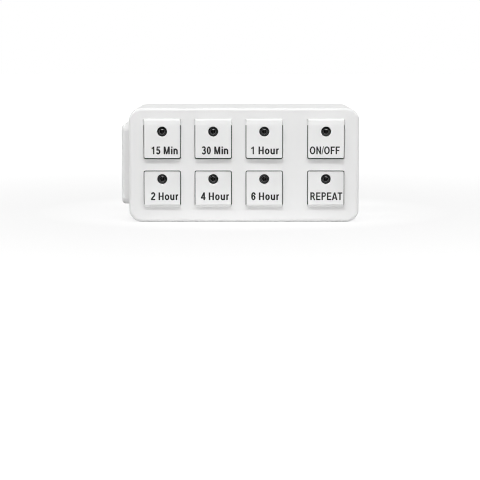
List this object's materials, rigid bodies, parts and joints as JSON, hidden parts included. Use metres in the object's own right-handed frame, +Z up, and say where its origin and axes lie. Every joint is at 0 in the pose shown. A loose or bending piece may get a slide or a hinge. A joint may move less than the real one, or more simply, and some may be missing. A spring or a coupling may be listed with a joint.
{
  "type": "plug in timer switch",
  "caption": "Plug-in countdown timer switch: white box with rows of hinged keys and lamps, a grounded wall plug behind and a grounded outlet on the left side.",
  "frame": {"origin": "centre of the rear face, which lies on the wall plate", "axes": "+Y into the wall, out of the plug; the keys face -Y; +Z up; +X to the right for someone who faces the keys"},
  "size_m": [0.0772, 0.0635, 0.037],
  "materials": {
    "white_housing": "satin, fine moulded texture",
    "white_key": "satin, fine moulded texture",
    "white_outlet": "satin",
    "lamp_epoxy": "clear over dark",
    "carrier_black": "moulded",
    "switch_black": "moulded",
    "plunger_white": "moulded",
    "board_green": "solder mask over glass fibre",
    "screw_steel": "zinc plated",
    "chip_black": "moulded epoxy",
    "ribbon_grey": "insulation",
    "relay_blue": "moulded case",
    "capacitor_yellow": "moulded case",
    "capacitor_sleeve": "shrunk sleeve",
    "varistor_orange": "dipped epoxy",
    "blade_nickel": "nickel plated brass, drawn lines",
    "contact_brass": "stamped strip",
    "wire_black": "insulation",
    "wire_white": "insulation",
    "wire_green": "insulation"
  },
  "bodies": {
    "housing": {"front_housing": "white_housing", "rear_cover": "white_housing", "outlet_face": "white_outlet", "outlet_body": "carrier_black", "led_15_min": "lamp_epoxy", "switch_15_min": "switch_black", "led_30_min": "lamp_epoxy", "switch_30_min": "switch_black", "led_1_hour": "lamp_epoxy", "switch_1_hour": "switch_black", "led_on_off": "lamp_epoxy", "switch_on_off": "switch_black", "led_2_hour": "lamp_epoxy", "switch_2_hour": "switch_black", "led_4_hour": "lamp_epoxy", "switch_4_hour": "switch_black", "led_6_hour": "lamp_epoxy", "switch_6_hour": "switch_black", "led_repeat": "lamp_epoxy", "switch_repeat": "switch_black", "control_board": "board_green", "control_board_screws": "screw_steel", "microcontroller": "chip_black", "ribbon_cable": "ribbon_grey", "power_board": "board_green", "power_board_screws": "screw_steel", "relay": "relay_blue", "film_capacitor": "capacitor_yellow", "filter_capacitor": "capacitor_sleeve", "fuse": "chip_black", "rectifier": "chip_black", "varistor": "varistor_orange", "line_blade": "blade_nickel", "neutral_blade": "blade_nickel", "ground_pin": "blade_nickel", "line_contact": "contact_brass", "neutral_contact": "contact_brass", "ground_contact": "contact_brass", "line_wire": "wire_black", "neutral_wire": "wire_white", "ground_wire": "wire_green", "case_screws": "screw_steel"},
    "key_15_min": {"key_15_min": "white_key"},
    "plunger_15_min": {"plunger_15_min": "plunger_white"},
    "key_30_min": {"key_30_min": "white_key"},
    "plunger_30_min": {"plunger_30_min": "plunger_white"},
    "key_1_hour": {"key_1_hour": "white_key"},
    "plunger_1_hour": {"plunger_1_hour": "plunger_white"},
    "key_on_off": {"key_on_off": "white_key"},
    "plunger_on_off": {"plunger_on_off": "plunger_white"},
    "key_2_hour": {"key_2_hour": "white_key"},
    "plunger_2_hour": {"plunger_2_hour": "plunger_white"},
    "key_4_hour": {"key_4_hour": "white_key"},
    "plunger_4_hour": {"plunger_4_hour": "plunger_white"},
    "key_6_hour": {"key_6_hour": "white_key"},
    "plunger_6_hour": {"plunger_6_hour": "plunger_white"},
    "key_repeat": {"key_repeat": "white_key"},
    "plunger_repeat": {"plunger_repeat": "plunger_white"}
  },
  "joints": [
    {"name": "press_15_min", "type": "hinge", "parent": "housing", "child": "key_15_min", "pos_m": [0, -0.0422, 0.01317], "axis": [1, 0, 0], "range_deg": [0, 2], "stiffness_Nm_per_rad": 0.15},
    {"name": "press_30_min", "type": "hinge", "parent": "housing", "child": "key_30_min", "pos_m": [0, -0.0422, 0.01317], "axis": [1, 0, 0], "range_deg": [0, 2], "stiffness_Nm_per_rad": 0.15},
    {"name": "press_1_hour", "type": "hinge", "parent": "housing", "child": "key_1_hour", "pos_m": [0, -0.0422, 0.01317], "axis": [1, 0, 0], "range_deg": [0, 2], "stiffness_Nm_per_rad": 0.15},
    {"name": "press_on_off", "type": "hinge", "parent": "housing", "child": "key_on_off", "pos_m": [0, -0.0422, 0.01317], "axis": [1, 0, 0], "range_deg": [0, 2], "stiffness_Nm_per_rad": 0.15},
    {"name": "press_2_hour", "type": "hinge", "parent": "housing", "child": "key_2_hour", "pos_m": [0, -0.0422, -0.01317], "axis": [-1, 0, 0], "range_deg": [0, 3.4], "stiffness_Nm_per_rad": 0.15},
    {"name": "press_4_hour", "type": "hinge", "parent": "housing", "child": "key_4_hour", "pos_m": [0, -0.0422, -0.01317], "axis": [-1, 0, 0], "range_deg": [0, 3.4], "stiffness_Nm_per_rad": 0.15},
    {"name": "press_6_hour", "type": "hinge", "parent": "housing", "child": "key_6_hour", "pos_m": [0, -0.0422, -0.01317], "axis": [-1, 0, 0], "range_deg": [0, 3.4], "stiffness_Nm_per_rad": 0.15},
    {"name": "press_repeat", "type": "hinge", "parent": "housing", "child": "key_repeat", "pos_m": [0, -0.0422, -0.01317], "axis": [-1, 0, 0], "range_deg": [0, 3.4], "stiffness_Nm_per_rad": 0.15},
    {"name": "travel_15_min", "type": "slide", "parent": "housing", "child": "plunger_15_min", "axis": [0, 1, 0], "range_m": [0, 0.0005]},
    {"name": "travel_30_min", "type": "slide", "parent": "housing", "child": "plunger_30_min", "axis": [0, 1, 0], "range_m": [0, 0.0005]},
    {"name": "travel_1_hour", "type": "slide", "parent": "housing", "child": "plunger_1_hour", "axis": [0, 1, 0], "range_m": [0, 0.0005]},
    {"name": "travel_on_off", "type": "slide", "parent": "housing", "child": "plunger_on_off", "axis": [0, 1, 0], "range_m": [0, 0.0005]},
    {"name": "travel_2_hour", "type": "slide", "parent": "housing", "child": "plunger_2_hour", "axis": [0, 1, 0], "range_m": [0, 0.0005]},
    {"name": "travel_4_hour", "type": "slide", "parent": "housing", "child": "plunger_4_hour", "axis": [0, 1, 0], "range_m": [0, 0.0005]},
    {"name": "travel_6_hour", "type": "slide", "parent": "housing", "child": "plunger_6_hour", "axis": [0, 1, 0], "range_m": [0, 0.0005]},
    {"name": "travel_repeat", "type": "slide", "parent": "housing", "child": "plunger_repeat", "axis": [0, 1, 0], "range_m": [0, 0.0005]}
  ],
  "couplings": [
    {"joint": "travel_15_min", "follows": "press_15_min", "m_per_rad": 0.0081},
    {"joint": "travel_30_min", "follows": "press_30_min", "m_per_rad": 0.0081},
    {"joint": "travel_1_hour", "follows": "press_1_hour", "m_per_rad": 0.0081},
    {"joint": "travel_on_off", "follows": "press_on_off", "m_per_rad": 0.0081},
    {"joint": "travel_2_hour", "follows": "press_2_hour", "m_per_rad": 0.0047},
    {"joint": "travel_4_hour", "follows": "press_4_hour", "m_per_rad": 0.0047},
    {"joint": "travel_6_hour", "follows": "press_6_hour", "m_per_rad": 0.0047},
    {"joint": "travel_repeat", "follows": "press_repeat", "m_per_rad": 0.0047}
  ]
}
